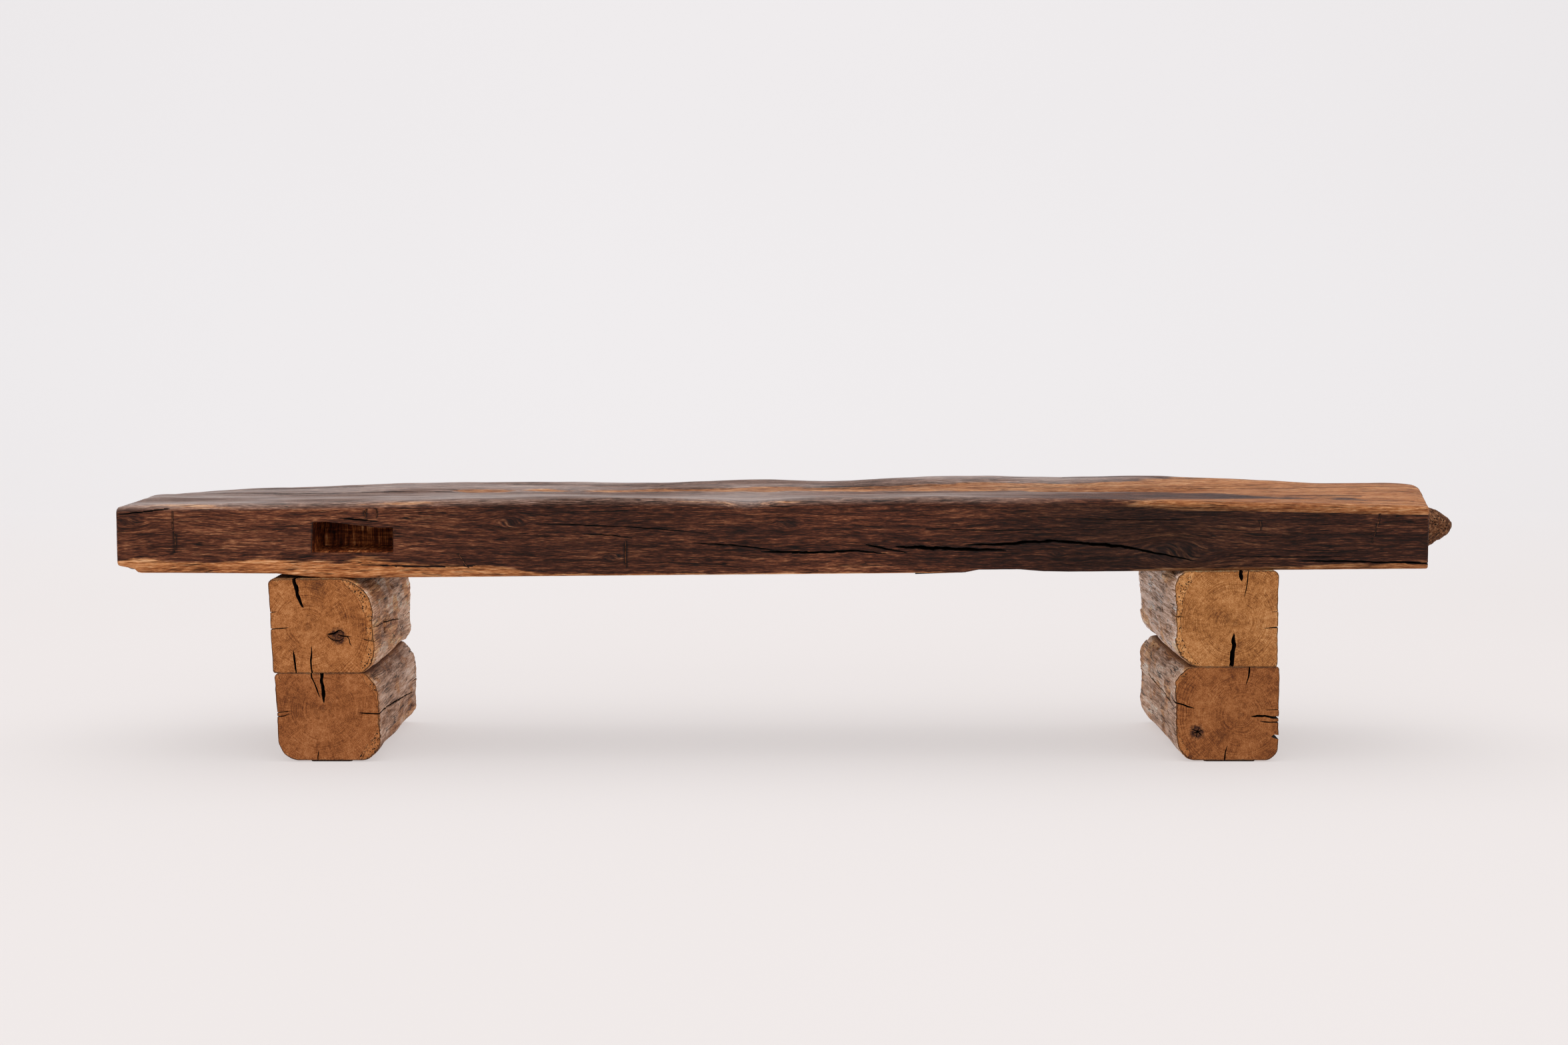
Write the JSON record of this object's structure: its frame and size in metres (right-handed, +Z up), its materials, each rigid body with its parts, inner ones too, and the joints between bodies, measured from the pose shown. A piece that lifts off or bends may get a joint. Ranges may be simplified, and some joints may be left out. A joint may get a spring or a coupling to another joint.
{
  "type": "backless bench",
  "caption": "Low backless bench: one long hewn oak beam with a blind mortise lies on two legs of stacked squared timber blocks.",
  "frame": {"origin": "on the floor, under the middle of the bench's bounding box", "axes": "+X along the beam to its longer, skewed end with the broken tenon, +Y from the front face, which has the mortise, to the back, +Z up"},
  "size_m": [2.1844, 0.38, 0.4381],
  "materials": {
    "dark_oak": "aged dark brown oak, waxed to a low sheen, lighter on the worn arrises",
    "pale_oak": "oiled tan end grain with weathered grey brown sides",
    "zinc_steel": "zinc plated",
    "black_rubber": "matt"
  },
  "bodies": {
    "root": {"seat_beam": "dark_oak", "left_upper_block": "pale_oak", "left_lower_block": "pale_oak", "right_upper_block": "pale_oak", "right_lower_block": "pale_oak", "left_front_rod": "zinc_steel", "left_back_rod": "zinc_steel", "right_front_rod": "zinc_steel", "right_back_rod": "zinc_steel", "left_front_washer": "zinc_steel", "left_back_washer": "zinc_steel", "right_front_washer": "zinc_steel", "right_back_washer": "zinc_steel", "left_front_nut": "zinc_steel", "left_back_nut": "zinc_steel", "right_front_nut": "zinc_steel", "right_back_nut": "zinc_steel", "left_front_pad": "black_rubber", "left_back_pad": "black_rubber", "right_front_pad": "black_rubber", "right_back_pad": "black_rubber"}
  },
  "joints": []
}
